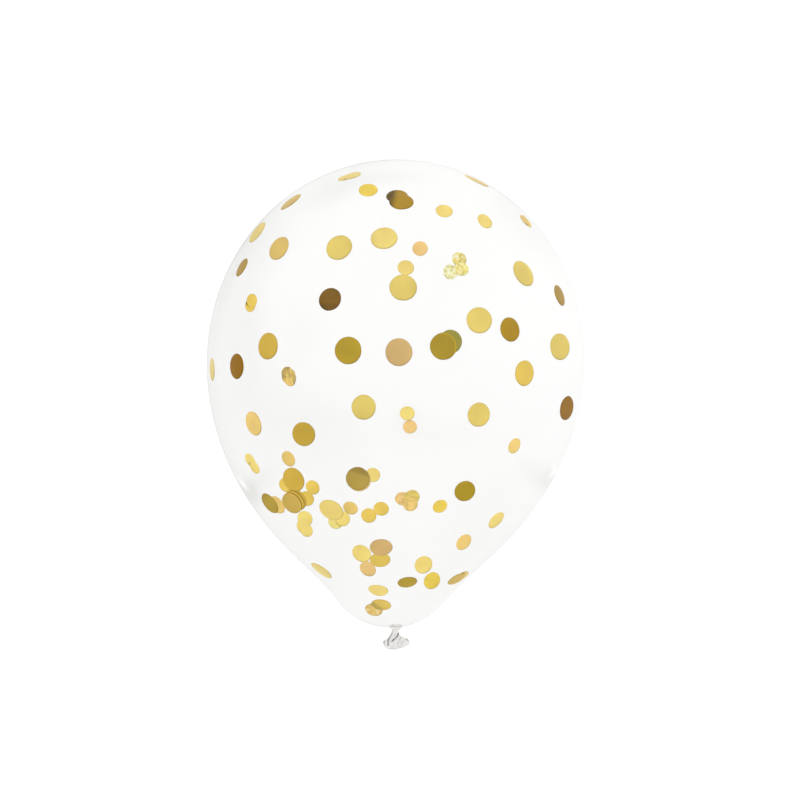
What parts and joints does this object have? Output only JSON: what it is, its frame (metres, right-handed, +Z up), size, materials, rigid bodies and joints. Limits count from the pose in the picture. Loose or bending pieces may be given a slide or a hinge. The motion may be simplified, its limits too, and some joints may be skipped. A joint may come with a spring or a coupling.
{
  "type": "confetti balloon",
  "caption": "Clear latex party balloon, blown up, knotted and lying on its side, with round gold foil confetti clinging inside.",
  "frame": {"origin": "middle of the bounding box's underside, on the surface that the balloon lies on", "axes": "+Y along the balloon's long axis from the knot to the crown, +Z up from the flat spot it lies on, +X across it"},
  "size_m": [0.27, 0.352, 0.268],
  "materials": {
    "latex": "thin clear see-through film, glossy, milky where it is bunched at the knot",
    "foil": "bright gold metallised foil, smooth, with faint creases"
  },
  "bodies": {
    "root": {"balloon": "latex"}
  },
  "joints": []
}
